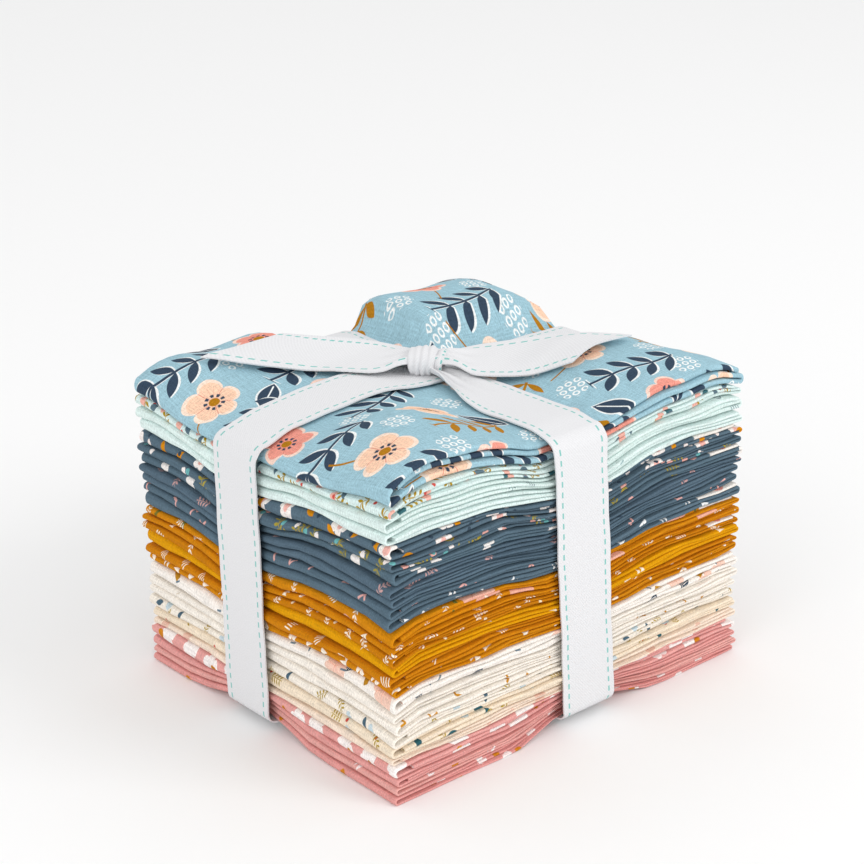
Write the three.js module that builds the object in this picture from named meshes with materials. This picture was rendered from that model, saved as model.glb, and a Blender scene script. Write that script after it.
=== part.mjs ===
// A fat quarter bundle: folded cotton prints in a stack, tied crosswise on top with one ribbon.
// Millimetres, +Z up. The origin is the middle of the base, and +X runs along the longer side.
import * as THREE from 'three';

const { clamp, smoothstep, degToRad } = THREE.MathUtils;

// The cut cloth, and the pad that it folds to: in four across its long side, then in three
const CUT_LONG = 533;
const CUT_SHORT = 457;
const BEND_LOSS = 2;
const HALF_X = CUT_SHORT / 3 / 2;
const HALF_Y = (CUT_LONG / 4 - BEND_LOSS) / 2;

// Air between the leaves of one quarter, and between one quarter and the next
const LEAF_GAP = 0.3;
const QUARTER_GAP = 0.35;

// How far the third leaf's raw edge stops short of the round bend, and the first leaf's of the far end
const TUCK = 9;
const RAW_SHORT = 2;

// The ribbon, and where it crosses the stack: the cross band leans towards its foot
const RIBBON_WIDTH = 22;
const RIBBON_THICK = 1;
const RIBBON_CLEAR = 0.35;
const TOP_CORNER = 5;
const FOOT_CORNER = 3.5;
const TIE_Y = 7;
const TIE_X_TOP = 0;
const TIE_X_FOOT = 5;

// The top four quarters puff up beside the ribbon, and the lowest five are lifted under it
const PUFF_QUARTERS = 4;
const FOOT_QUARTERS = 5;
const FOOT_LIFT = 3.6;
const FOOT_RAMP = 20;

// The ribbon draws the bends and the rims in, from this far out on the pad
const DRAW_BENDS = { by: 2, from: 64 };
const DRAW_RIMS = { by: 3, from: 52 };

// The top between its puffs: its rims bend down beside the ribbon and its left side is pulled down,
// while its corners and the middle of its back rise. Places are distances from the middle, and those
// named out are shares of the way from the tie to the rim.
const RIM_DIP = { drop: 2, from: 54, fadeTo: 28 };
const LEFT_PULL = { drop: 3.5, from: 25, outFrom: 0.4 };
const CORNER_LIFT = { rise: 3, from: 45, full: 72, outFrom: 0.55, outFull: 0.95 };
const BACK_LIFT = { rise: 3, from: 20, fadeFrom: 14, fadeTo: 50 };

// Where the ribbon passes over itself, it stays raised this far past the edge below, then comes down
const CROSSING_FLAT = 2;
const BAND_RAMP = 4;
const END_RAMP = 6;

// One row for each quarter, from the top: its print, its height in the stack, its cloth's colour,
// and how far its round bend and its far end lie inside the pad's length
const QUARTERS = [
  { print: 'blue_floral', height: 4.9, colour: 0x94b8c6, bend: 0.1, far: 0.2 },
  { print: 'mint_sprig', height: 2.9, colour: 0xcfe3e2, bend: 0.3, far: 0.3 },
  { print: 'mint_script', height: 3.2, colour: 0xd6e8e4, bend: 0.2, far: 0.1 },
  { print: 'mint_plain', height: 3.2, colour: 0xd9eae6, bend: 0.0, far: 0.3 },
  { print: 'slate_bloom', height: 4.4, colour: 0x4f6272, bend: 0.5, far: 0.2 },
  { print: 'slate_sprig', height: 3.5, colour: 0x4d6070, bend: 0.1, far: 0.6 },
  { print: 'slate_bud', height: 3.8, colour: 0x506474, bend: 0.6, far: 0.0 },
  { print: 'slate_fleck', height: 3.2, colour: 0x4b5e6e, bend: 0.2, far: 0.4 },
  { print: 'slate_line', height: 3.2, colour: 0x51657a, bend: 0.4, far: 0.3 },
  { print: 'slate_pip', height: 3.2, colour: 0x4f6272, bend: 0.0, far: 0.7 },
  { print: 'slate_dot', height: 4.3, colour: 0x526677, bend: 0.5, far: 0.1 },
  { print: 'mustard_bloom', height: 3.9, colour: 0xc98310, bend: 0.2, far: 0.5 },
  { print: 'mustard_leaf', height: 2.9, colour: 0xc77f0a, bend: 0.6, far: 0.2 },
  { print: 'mustard_fleck', height: 3.0, colour: 0xbf7808, bend: 0.1, far: 0.6 },
  { print: 'mustard_gold', height: 4.3, colour: 0xd99a05, bend: 0.4, far: 0.1 },
  { print: 'mustard_line', height: 3.4, colour: 0xc57c0c, bend: 0.0, far: 0.4 },
  { print: 'mustard_dart', height: 3.0, colour: 0xc8820f, bend: 0.5, far: 0.3 },
  { print: 'cream_bloom', height: 5.2, colour: 0xf4efe8, bend: 0.2, far: 0.0 },
  { print: 'cream_plain', height: 3.3, colour: 0xf1ebe2, bend: 0.6, far: 0.5 },
  { print: 'cream_angle', height: 3.9, colour: 0xf3ece2, bend: 0.1, far: 0.2 },
  { print: 'cream_line', height: 3.9, colour: 0xf0e8dd, bend: 0.5, far: 0.6 },
  { print: 'beige_leaf', height: 4.5, colour: 0xefdfc8, bend: 0.3, far: 0.1 },
  { print: 'beige_blush', height: 2.9, colour: 0xf0dccb, bend: 0.0, far: 0.4 },
  { print: 'pink_bloom', height: 4.5, colour: 0xdb9a96, bend: 0.4, far: 0.2 },
  { print: 'pink_plain', height: 3.0, colour: 0xd99692, bend: 0.1, far: 0.5 },
  { print: 'pink_dart', height: 3.0, colour: 0xdca09a, bend: 0.5, far: 0.1 },
  { print: 'pink_fleck', height: 3.0, colour: 0xd8938f, bend: 0.2, far: 0.3 },
];

// One row for each puffed corner of the top, by the side of the tie it lies on: its rise, the share
// of that left at the rims, and how far from the ribbon's edges it reaches its full height
const PUFFS = [
  { x: -1, y: -1, rise: 13.5, rimX: 0.2, rimY: 0.75, nearX: 34, nearY: 33 },
  { x: 1, y: -1, rise: 10.5, rimX: 0.3, rimY: 0.75, nearX: 30, nearY: 18 },
  { x: -1, y: 1, rise: 12, rimX: 0.25, rimY: 0.7, nearX: 17, nearY: 40 },
  { x: 1, y: 1, rise: 14, rimX: 0.42, rimY: 0.66, nearX: 17, nearY: 17 },
];

// The flat rim of a puff, and the run of the shoulder inside it
const SHOULDER = { flat: 3, run: 20 };

// The free ends, from the knot: heading in degrees from +X, and the lengths of the two cut edges
const RIBBON_ENDS = [
  { name: 'ribbon_end_left', heading: 135, rightEdge: 48, leftEdge: 73 },
  { name: 'ribbon_end_right', heading: -43, rightEdge: 47, leftEdge: 67 },
];
const END_START = 15;
const END_START_WIDTH = 13;
const END_FULL_WIDTH_AT = 32;
const END_STEPS = 10;
const END_CLEAR = 1.6;

const KNOT = { x: 1.5, y: 6, halfLength: 13, halfWidth: 9, halfHeight: 3.4, heading: -43 };

const RIBBON_COLOUR = 0xf0f0f2;
const CLOTH_FINISH = { roughness: 0.9, metalness: 0 };
const RIBBON_FINISH = { roughness: 0.6, metalness: 0 };

const HALF_RIBBON = RIBBON_WIDTH / 2;
const sumHeights = (rows) => rows.reduce((sum, row) => sum + row.height, 0);
const STACK = sumHeights(QUARTERS);
const PUFF_ZONE = sumHeights(QUARTERS.slice(0, PUFF_QUARTERS));
const FOOT_ZONE = sumHeights(QUARTERS.slice(-FOOT_QUARTERS));

// Where a surface gets its own vertices along X and Y: close together where it curves
const PUFF_STATIONS = {
  x: [-73, -64, -50, -28, -HALF_RIBBON, HALF_RIBBON, 28, 50, 64, 73],
  y: [-50, -28, TIE_Y - HALF_RIBBON, TIE_Y + HALF_RIBBON, 36, 52],
};
const FOOT_STOPS = [-HALF_RIBBON - FOOT_RAMP, -HALF_RIBBON, HALF_RIBBON, HALF_RIBBON + FOOT_RAMP];
const FOOT_STATIONS = {
  x: FOOT_STOPS.map((stop) => stop + TIE_X_FOOT),
  y: FOOT_STOPS.map((stop) => stop + TIE_Y),
};
const FLAT_STATIONS = { x: [-30, 30], y: [0] };

const tieX = (z) => THREE.MathUtils.lerp(TIE_X_FOOT, TIE_X_TOP, z / STACK);

// The puff along one axis: nothing under the ribbon, full beside it, and a shoulder at the rim
function puffShare(offset, reach, rimShare, near) {
  const distance = Math.abs(offset);
  const inside = clamp((reach - distance - SHOULDER.flat) / SHOULDER.run, 0, 1);
  const rim = rimShare + (1 - rimShare) * (1 - (1 - inside) ** 2);
  return rim * smoothstep(distance, HALF_RIBBON, HALF_RIBBON + near);
}

// Height of the bundle's top face: pulled down along the ribbon, raised at the corners, puffed between
function topFace(x, y) {
  const offX = x - TIE_X_TOP;
  const offY = y - TIE_Y;
  const reachY = offY < 0 ? HALF_Y + TIE_Y : HALF_Y - TIE_Y;
  const outY = Math.abs(offY) / reachY;
  const puff = PUFFS.find((row) => row.x * offX >= 0 && row.y * offY >= 0);
  const leftPull = LEFT_PULL.drop * smoothstep(-x, LEFT_PULL.from, HALF_X)
    * (1 - smoothstep(outY, LEFT_PULL.outFrom, 1));
  const cornerLift = CORNER_LIFT.rise * smoothstep(Math.abs(x), CORNER_LIFT.from, CORNER_LIFT.full)
    * smoothstep(outY, CORNER_LIFT.outFrom, CORNER_LIFT.outFull);
  const backLift = BACK_LIFT.rise * smoothstep(y, BACK_LIFT.from, HALF_Y)
    * (1 - smoothstep(Math.abs(x), BACK_LIFT.fadeFrom, BACK_LIFT.fadeTo));
  const rimDip = RIM_DIP.drop * smoothstep(Math.abs(y), RIM_DIP.from, HALF_Y)
    * (1 - smoothstep(Math.abs(offX), HALF_RIBBON, RIM_DIP.fadeTo));
  const rise = puff.rise * puffShare(offX, HALF_X, puff.rimX, puff.nearX)
    * puffShare(offY, reachY, puff.rimY, puff.nearY);
  return STACK - leftPull - rimDip + cornerLift + backLift + rise;
}

// 1 under a ribbon and 0 clear of it, with a straight ramp between
const ribbonShare = (offset) => clamp(1 - (Math.abs(offset) - HALF_RIBBON) / FOOT_RAMP, 0, 1);

// The same where the ribbon passes over itself
const crossingShare = (offset, ramp) =>
  clamp(1 - (Math.abs(offset) - HALF_RIBBON - CROSSING_FLAT) / ramp, 0, 1);

const footFace = (x, y) => FOOT_LIFT * Math.max(ribbonShare(x - TIE_X_FOOT), ribbonShare(y - TIE_Y));

// Takes a point of a flat stack to its place in the tied one
function settle(x, y, z) {
  const loose = clamp((z - STACK + PUFF_ZONE) / PUFF_ZONE, 0, 1);
  const low = clamp(1 - z / FOOT_ZONE, 0, 1);
  const tight = Math.max(loose, low);
  const drawX = DRAW_BENDS.by * tight * ribbonShare(y - TIE_Y)
    * smoothstep(Math.abs(x), DRAW_BENDS.from, HALF_X);
  const drawY = DRAW_RIMS.by * tight * ribbonShare(x - tieX(z))
    * smoothstep(Math.abs(y), DRAW_RIMS.from, HALF_Y);
  const raised = loose * (topFace(x, y) - STACK) + low * footFace(x, y);
  return new THREE.Vector3(x - Math.sign(x) * drawX, y - Math.sign(y) * drawY, z + raised);
}

// Joins rings of points, in order along the piece, into one closed surface that faces outwards.
// Each ring runs anticlockwise when seen from the first ring's side. A loop has no end faces.
function loft(rings, { loop = false, along = (p) => p.x, flat = (p) => new THREE.Vector2(p.x, p.z) } = {}) {
  const count = rings[0].length;
  const positions = rings.flat().flatMap((p) => [p.x, p.y, p.z]);
  const faces = [];
  const spans = loop ? rings.length : rings.length - 1;
  for (let j = 0; j < spans; j += 1) {
    const next = (j + 1) % rings.length;
    for (let i = 0; i < count; i += 1) {
      const k = (i + 1) % count;
      const a = j * count + i;
      const b = j * count + k;
      const c = next * count + i;
      const d = next * count + k;
      // Neighbouring leaves share one direction of diagonal, so that they stay parallel
      const onward = along(rings[j][k]) > along(rings[j][i]);
      faces.push(...(onward ? [a, c, d, a, d, b] : [a, c, b, c, d, b]));
    }
  }
  if (!loop) {
    const last = (rings.length - 1) * count;
    for (const [a, b, c] of THREE.ShapeUtils.triangulateShape(rings[0].map(flat), [])) {
      faces.push(a, b, c);
    }
    for (const [a, b, c] of THREE.ShapeUtils.triangulateShape(rings.at(-1).map(flat), [])) {
      faces.push(last + a, last + c, last + b);
    }
  }
  const geometry = new THREE.BufferGeometry();
  geometry.setAttribute('position', new THREE.Float32BufferAttribute(positions, 3));
  geometry.setIndex(faces);
  geometry.computeVertexNormals();
  return geometry;
}

// Points of an arc in the XZ plane between two angles in degrees, with both its ends
function arc(x, z, radius, from, to, steps) {
  const points = [];
  for (let i = 0; i <= steps; i += 1) {
    const angle = degToRad(from + (to - from) * i / steps);
    points.push([x + radius * Math.cos(angle), z + radius * Math.sin(angle)]);
  }
  return points;
}

// The same arc where the faces beside it already hold its ends
const bend = (...shape) => arc(...shape).slice(1, -1);

// The folded section of one quarter, before the stack is tied. The first leaf lies on top, goes round
// the full-height bend at -X into the lowest leaf, and that turns tightly at +X into the tucked one.
function foldedSection(quarter, base, stations) {
  const leaf = (quarter.height - QUARTER_GAP - 2 * LEAF_GAP) / 3;
  const lowOver = base + leaf;
  const midUnder = lowOver + LEAF_GAP;
  const midOver = midUnder + leaf;
  const topUnder = midOver + LEAF_GAP;
  const topOver = topUnder + leaf;
  const roundBend = (topOver - base) / 2;
  const tightBend = (midOver - base) / 2;
  const left = -HALF_X + quarter.bend + roundBend;
  const right = HALF_X - quarter.far - tightBend;
  const rawEnd = HALF_X - RAW_SHORT - quarter.far;
  const tucked = -HALF_X + quarter.bend + TUCK;
  const run = (from, to, z) => {
    const low = Math.min(from, to);
    const high = Math.max(from, to);
    const inner = stations.filter((x) => x > low + 1 && x < high - 1);
    const ordered = from < to ? inner : [...inner].reverse();
    return [from, ...ordered, to].map((x) => [x, z]);
  };
  return [
    ...run(rawEnd, left, topOver),
    ...bend(left, base + roundBend, roundBend, 90, 270, 4),
    ...run(left, right, base),
    ...bend(right, base + tightBend, tightBend, -90, 90, 3),
    ...run(right, tucked, midOver),
    ...run(tucked, right, midUnder),
    ...run(right, left, lowOver),
    ...bend(left, base + roundBend, roundBend - leaf, 270, 90, 3),
    ...run(left, rawEnd, topUnder),
  ];
}

function quarterGeometry(quarter, base, stations) {
  const section = foldedSection(quarter, base, stations.x);
  const rings = [-HALF_Y, ...stations.y, HALF_Y].map((y) => section.map(([x, z]) => settle(x, y, z)));
  return loft(rings);
}

// A closed band: its inner face follows the path, and its thickness lies outside it
function bandGeometry(path, across, centre) {
  const rings = path.map((point, i) => {
    const before = path.at(i - 1);
    const after = path[(i + 1) % path.length];
    const tangent = after.clone().sub(before).normalize();
    const out = new THREE.Vector3().crossVectors(across, tangent).normalize().multiplyScalar(RIBBON_THICK);
    const side = across.clone().multiplyScalar(HALF_RIBBON);
    const inner = point.clone().add(centre(point));
    return [
      inner.clone().sub(side),
      inner.clone().add(side),
      inner.clone().add(side).add(out),
      inner.clone().sub(side).add(out),
    ];
  });
  return loft(rings, { loop: true });
}

// The route round the stack in its own upright plane, from the middle of the top: [along, height]
function bandRoute({ half, top, foot, topStops, footStops }) {
  const side = half + RIBBON_CLEAR;
  const turn = (sign, level, radius, from) =>
    arc(side - radius, level, radius, from, from + 90, 4).map(([along, z]) => [sign * along, z]);
  const topEdge = side - TOP_CORNER;
  const footEdge = side - FOOT_CORNER;
  const clear = (stops, edge) => stops.filter((stop) => Math.abs(stop) < edge - 2);
  return [
    ...clear(topStops, topEdge).map((stop) => [stop, top(stop)]).reverse(),
    ...turn(-1, top(-topEdge) - TOP_CORNER, TOP_CORNER, 0).reverse(),
    ...turn(-1, foot(-footEdge) + FOOT_CORNER, FOOT_CORNER, 270).reverse(),
    ...clear(footStops, footEdge).map((stop) => [stop, foot(stop)]),
    ...turn(1, foot(footEdge) + FOOT_CORNER, FOOT_CORNER, 270),
    ...turn(1, top(topEdge) - TOP_CORNER, TOP_CORNER, 0),
  ];
}

function longBand() {
  const route = bandRoute({
    half: HALF_X,
    top: (x) => facetTop(x, TIE_Y) + RIBBON_CLEAR,
    foot: () => FOOT_LIFT - RIBBON_CLEAR,
    topStops: PUFF_STATIONS.x,
    footStops: FOOT_STATIONS.x,
  });
  const path = route.map(([x, z]) => new THREE.Vector3(x, 0, z));
  const centre = () => new THREE.Vector3(0, TIE_Y, 0);
  return bandGeometry(path, new THREE.Vector3(0, 1, 0), centre);
}

// The cross band passes over the long one on top and under it below
function crossBand() {
  const step = RIBBON_THICK + RIBBON_CLEAR;
  const over = (y) => step * crossingShare(y - TIE_Y, BAND_RAMP);
  const raisedTo = HALF_RIBBON + CROSSING_FLAT;
  const downAt = raisedTo + BAND_RAMP;
  const crossStops = [-downAt, -raisedTo, raisedTo, downAt].map((y) => y + TIE_Y);
  const besideTie = (y) => Math.abs(y - TIE_Y) > downAt;
  const route = bandRoute({
    half: HALF_Y,
    top: (y) => facetTop(TIE_X_TOP, y) + RIBBON_CLEAR + over(y),
    foot: (y) => FOOT_LIFT - RIBBON_CLEAR - over(y),
    topStops: [...PUFF_STATIONS.y.filter(besideTie), ...crossStops].sort((a, b) => a - b),
    footStops: crossStops,
  });
  const path = route.map(([y, z]) => new THREE.Vector3(0, y, z));
  const centre = (point) => new THREE.Vector3(tieX(point.z), 0, 0);
  return bandGeometry(path, new THREE.Vector3(-1, 0, 0), centre);
}

const KNOT_BASE = topFace(TIE_X_TOP, TIE_Y) + 2 * (RIBBON_THICK + RIBBON_CLEAR) + RIBBON_CLEAR;

// The knot: a squashed barrel, drawn in at both ends, with the wrap standing proud round its middle.
// Its outline has shares of the knot's half width, and places along its half length.
const KNOT_OUTLINE = [
  { radius: 0, along: -1 },
  { radius: 0.55, along: -0.82 },
  { radius: 0.72, along: -0.4 },
  { radius: 1, along: -0.3 },
  { radius: 1, along: 0.3 },
  { radius: 0.72, along: 0.4 },
  { radius: 0.55, along: 0.82 },
  { radius: 0, along: 1 },
];
const KNOT_SIDES = 12;

function knotGeometry() {
  const points = KNOT_OUTLINE.map(({ radius, along }) => new THREE.Vector2(radius, along));
  const geometry = new THREE.LatheGeometry(points, KNOT_SIDES);
  geometry.scale(KNOT.halfWidth, KNOT.halfLength, KNOT.halfHeight);
  geometry.rotateZ(degToRad(KNOT.heading - 90));
  geometry.translate(KNOT.x, KNOT.y, KNOT_BASE + KNOT.halfHeight);
  return geometry;
}

// Height of the top quarter's facets, between the stations that carry its vertices
function facetTop(x, y) {
  const place = (list, value) => {
    const at = clamp(value, list[0], list.at(-1) - 0.001);
    const i = list.findLastIndex((stop) => stop <= at);
    return [list[i], list[i + 1], (at - list[i]) / (list[i + 1] - list[i])];
  };
  const [x0, x1, u] = place(PUFF_STATIONS.x, x);
  const [y0, y1, v] = place([-HALF_Y, ...PUFF_STATIONS.y, HALF_Y], y);
  const near = THREE.MathUtils.lerp(topFace(x0, y0), topFace(x1, y0), u);
  const far = THREE.MathUtils.lerp(topFace(x0, y1), topFace(x1, y1), u);
  return THREE.MathUtils.lerp(near, far, v);
}

// What a free end lies on: the cloth, and the bands where it crosses them
function underEnd(x, y) {
  const covers = crossingShare(x - TIE_X_TOP, END_RAMP) + crossingShare(y - TIE_Y, END_RAMP);
  const bands = covers * (RIBBON_THICK + RIBBON_CLEAR);
  return facetTop(x, y) + bands + END_CLEAR;
}

// A free end of the ribbon: gathered at the knot, full width further on, and cut on the slant
function endGeometry({ heading, rightEdge, leftEdge }) {
  const ahead = new THREE.Vector2(1, 0).rotateAround(new THREE.Vector2(), degToRad(heading));
  const aside = new THREE.Vector2(-ahead.y, ahead.x);
  const rings = [];
  for (let step = 0; step <= END_STEPS; step += 1) {
    const share = step / END_STEPS;
    const under = [];
    for (const lateral of [1, 0, -1]) {
      const length = THREE.MathUtils.lerp(rightEdge, leftEdge, (lateral + 1) / 2);
      const reach = THREE.MathUtils.lerp(END_START, length, share);
      const spread = clamp((reach - END_START) / (END_FULL_WIDTH_AT - END_START), 0, 1);
      const width = THREE.MathUtils.lerp(END_START_WIDTH, RIBBON_WIDTH, spread);
      const x = KNOT.x + ahead.x * reach + aside.x * lateral * width / 2;
      const y = KNOT.y + ahead.y * reach + aside.y * lateral * width / 2;
      under.push(new THREE.Vector3(x, y, underEnd(x, y)));
    }
    const over = under.map((p) => new THREE.Vector3(p.x, p.y, p.z + RIBBON_THICK)).reverse();
    rings.push([...under, ...over]);
  }
  return loft(rings, { flat: (p) => new THREE.Vector2(-(p.x * aside.x + p.y * aside.y), p.z) });
}

function addPiece(group, name, geometry, colour, finish) {
  const mesh = new THREE.Mesh(geometry, new THREE.MeshStandardMaterial({ color: colour, ...finish }));
  mesh.name = name;
  group.add(mesh);
}

const bundle = new THREE.Group();

let base = STACK;
QUARTERS.forEach((quarter, index) => {
  base -= quarter.height;
  const fromFoot = QUARTERS.length - index;
  const flat = fromFoot <= FOOT_QUARTERS ? FOOT_STATIONS : FLAT_STATIONS;
  const stations = index < PUFF_QUARTERS ? PUFF_STATIONS : flat;
  const name = `quarter_${String(index + 1).padStart(2, '0')}_${quarter.print}`;
  const geometry = quarterGeometry(quarter, Math.max(base, 0), stations);
  addPiece(bundle, name, geometry, quarter.colour, CLOTH_FINISH);
});

addPiece(bundle, 'ribbon_long', longBand(), RIBBON_COLOUR, RIBBON_FINISH);
addPiece(bundle, 'ribbon_cross', crossBand(), RIBBON_COLOUR, RIBBON_FINISH);
addPiece(bundle, 'ribbon_knot', knotGeometry(), RIBBON_COLOUR, RIBBON_FINISH);
for (const end of RIBBON_ENDS) {
  addPiece(bundle, end.name, endGeometry(end), RIBBON_COLOUR, RIBBON_FINISH);
}

export default bundle;
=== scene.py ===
"""A bundle of folded fat quarters, tied crosswise with one ribbon. Metres, +Z up.

Each fat quarter is one cut cloth. It is folded in four across its long side and in three along its
short one, laid on the stack, and settled under the ribbon. The ribbon's bands, wrap and free ends are
strips of the same twill."""

import math

import bpy
import numpy as np
from mathutils import Matrix, Vector


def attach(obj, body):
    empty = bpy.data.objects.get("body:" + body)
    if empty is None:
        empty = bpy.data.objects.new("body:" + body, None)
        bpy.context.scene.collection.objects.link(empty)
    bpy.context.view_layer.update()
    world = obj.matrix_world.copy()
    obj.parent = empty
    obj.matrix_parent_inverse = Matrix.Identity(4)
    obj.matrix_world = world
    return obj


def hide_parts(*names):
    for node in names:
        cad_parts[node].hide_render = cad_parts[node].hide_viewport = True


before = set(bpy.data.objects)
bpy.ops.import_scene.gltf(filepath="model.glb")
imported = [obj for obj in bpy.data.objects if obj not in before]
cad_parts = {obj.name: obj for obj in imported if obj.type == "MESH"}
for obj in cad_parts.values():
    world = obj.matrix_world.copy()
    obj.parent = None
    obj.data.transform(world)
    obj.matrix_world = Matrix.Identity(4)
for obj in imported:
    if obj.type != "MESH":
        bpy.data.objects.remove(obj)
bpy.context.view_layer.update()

# The cut cloth, and the pad it folds to
CUT_LONG = 0.533
CUT_SHORT = 0.457
BEND_LOSS = 0.002
HALF_X = CUT_SHORT / 3 / 2
HALF_Y = (CUT_LONG / 4 - BEND_LOSS) / 2
# The air above each quarter, the share of a leaf that its layers fill, and the cloth's share of a layer
QUARTER_AIR = 0.00030
LEAF_FILL = 0.83
CLOTH_SHARE = 0.81
# How far apart two quarters lie in the waves that make each of them a little different
SEED_STEP = 1.7
# How far the inner leaf stops short of the round bend and how far that bend is drawn in, each with how much
# it differs from quarter to quarter, and how far the raw edge stops short of the far end
TUCK = {"least": 0.0026, "vary": 0.0030, "turn": 2.3}
DRAWN_IN = {"least": 0.0, "vary": 0.0009, "turn": 1.41}
RAW_SHORT = 0.002
# How far apart a sheet's points lie along it and across it, for the quarters seen from above and the rest
GRID_STEPS = {"top": (0.004, 0.0045), "rest": (0.0085, 0.011)}
# How the pressed edges stray: within which reach, by how much, and in how many waves along the cloth
STRAY = {"rims": 0.020, "left": 0.015, "least": 0.0008, "vary": 0.0005, "waves": 1.4, "left_least": 0.0004,
         "left_share": 0.6}
# The waves of a pressed edge, by length and height, and how unevenly the raw edges lie
RIDGE_WAVES = ((0.187, 0.00050), (0.071, 0.00028), (0.033, 0.00012))
RAW_EDGE = {"reach": 0.02, "back": 0.0010, "vary": 0.0009, "wave": 0.021}
SMOOTH_ANGLE = math.radians(50)

# The ribbon, and where it crosses the stack
RIBBON_WIDTH = 0.022
RIBBON_THICK = 0.0005
HALF_RIBBON = RIBBON_WIDTH / 2
RIBBON_CLEAR = 0.0005
TOP_CORNER = 0.005
FOOT_CORNER = 0.0035
TIE_Y = 0.007
TIE_X_TOP = 0.0
TIE_X_FOOT = 0.005
CROSSING_FLAT = 0.002
CROSSING_RAMP = 0.004
BAND_AIR = 0.00025
BAND_STEP = RIBBON_THICK + BAND_AIR
# The points of a band: how far apart along its runs, and how many round a corner and down a side
BAND_POINTS = {"step": 0.0025, "corner": 9, "side": 30}
# A ribbon's edges aren't quite straight: the length of a wave, its height, and its share of the seed
EDGE_WAVES = ((0.0061, 0.00018, 1), (0.0023, 0.00012, 2))
# How the cross run is gathered at the knot: how much and how far out, on its left and its right edge, how
# high its pleats stand, and how its left edge curls up
GATHER = {"from": 0.004, "left": 0.80, "left_far": 0.042, "right": 0.45, "right_far": 0.020,
          "lift": 0.0010, "pleat": 0.0008, "pleats": 3.5, "start": 0.6, "curl": 0.0022}

# The knot: its middle, the way its ends leave it, half its depth and height, and how far inside they start
KNOT = {
    "x": 0.0012, "y": 0.0063, "z": 0.1046, "heading": -43, "deep": 0.0066, "tall": 0.0044, "inside": 0.002,
}
# The wrap: its points round and across, its pleats' height and number, how they sway and vary, where they
# start and end across it, how much flatter they are on top, and how the turn spreads and leans
WRAP = {
    "points": (65, 61), "pleat": 0.00034, "pleats": 6.2, "sway_round": 0.6, "sway_across": 1.1, "least": 0.75,
    "vary": 0.45, "start": (-0.75, -0.45), "end": (0.35, 0.5), "on_top": 0.8, "spread": 0.12, "lean": 0.0008,
}
# Across the wrap, from its left edge: the share of the ribbon's width, the place, and the rise. The left
# edge is tucked under, then comes the full fold, a groove, and a lower fold
WRAP_PROFILE = [
    (-1.00, -0.0012, -0.0042), (-0.88, -0.0038, -0.0036), (-0.72, -0.0054, -0.0013),
    (-0.60, -0.0050, -0.0003), (-0.30, -0.0030, 0.0001), (0.0, -0.0008, 0.0002), (0.26, 0.0014, 0.0),
    (0.42, 0.0027, -0.0006), (0.50, 0.0029, -0.0026), (0.58, 0.0032, -0.0014), (0.72, 0.0043, -0.0008),
    (0.84, 0.0054, -0.0014), (0.92, 0.0054, -0.0028), (1.00, 0.0040, -0.0040),
]
# Both free ends: their points along and across, how they open from the neck, how high they leave the knot,
# how they hang on the side toward the camera, and how they fold and ripple
FREE_END = {
    "points": (49, 23), "neck": 0.0100, "full_at": 0.019, "bow_over": 0.06, "ramp": 0.006,
    "above_knot": 0.0002, "leaves_knot": (0.007, 0.017), "clear": 0.0004, "limp": 0.85,
    "limp_over": (0.006, 0.013), "pleat": 0.0011, "ripple": 0.0004, "ripple_long": 0.009,
    "ripple_slant": 1.3, "curl_from": 0.7,
}
# Each free end: its heading, the lengths of its two edges, its pleats, its bow and curl, and its near side
FREE_ENDS = {
    "left": {"heading": 136, "right_edge": 0.048, "left_edge": 0.073, "pleats": 3.3, "phase": 0.4,
             "bow": -0.0006, "curl": 0.0006, "near_side": 1},
    "right": {"heading": -43, "right_edge": 0.047, "left_edge": 0.067, "pleats": 3.1, "phase": 1.9,
              "bow": 0.0008, "curl": 0.0008, "near_side": -1},
}

# How the stack gives: it is pinched along the ribbon and full between, and the front corner sinks, both
# between certain heights
PINCH = {"by": 0.0040, "under": 0.75, "near": 0.008, "far": 0.036, "rise": (0.008, 0.078), "fade": 0.082}
CORNER_SINK = {"by": 0.0026, "start_x": 0.063, "start_y": 0.046, "rise": (0.004, 0.032),
               "fade": (0.058, 0.082)}
# Slow waves that all the layers share, so that none of them crosses another: the length of a wave along X,
# Y and Z, how far it lifts, and where it starts. They calm down at the foot and at the top
WAVES = [
    (0.083, 0.071, 0.0093, 0.00040, 0.4),
    (0.047, 0.059, 0.0061, 0.00022, 2.1),
    (0.031, 0.037, 0.0147, 0.00030, 4.4),
    (0.119, 0.097, 0.0231, 0.00055, 1.3),
]
CALM = {"within": 0.012, "top_share": 0.7}
# How many quarters puff up on top, how many the ribbon lifts at the foot, how far, and over what width
PUFF_QUARTERS = 4
FOOT_QUARTERS = 5
FOOT_LIFT = 0.0036
FOOT_RAMP = 0.020
# How the ribbon draws in the bends and the rims that it runs over
DRAW_BENDS = {"by": 0.002, "start": 0.064}
DRAW_RIMS = {"by": 0.003, "start": 0.052}
# The top: it dips at the rims under the ribbon, is pulled down at the left bends, and lifts at the corners
# and at the back. A puff falls from its shoulder to the rim
RIM_DIP = {"drop": 0.002, "start": 0.054, "fade_to": 0.028}
LEFT_PULL = {"drop": 0.0035, "start": 0.025, "out_from": 0.4}
CORNER_LIFT = {"rise": 0.003, "start": 0.045, "full": 0.072, "out_from": 0.55, "out_full": 0.95}
BACK_LIFT = {"rise": 0.003, "start": 0.020, "fade_from": 0.014, "fade_to": 0.050}
SHOULDER = {"flat": 0.003, "run": 0.020}
# The ribbon doesn't reach down to the flat stack: how high it is held at the knot, how much more the cloth
# arches under its left arm, how much of that is lost at the left bends, and where it ends behind the knot
ARCH = {"tie": 0.0030, "left": 0.0024, "left_near": 0.004, "left_far": 0.030, "rim": 0.0034,
        "rim_start": 0.060, "behind": 0.010, "behind_end": 0.045}
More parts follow.
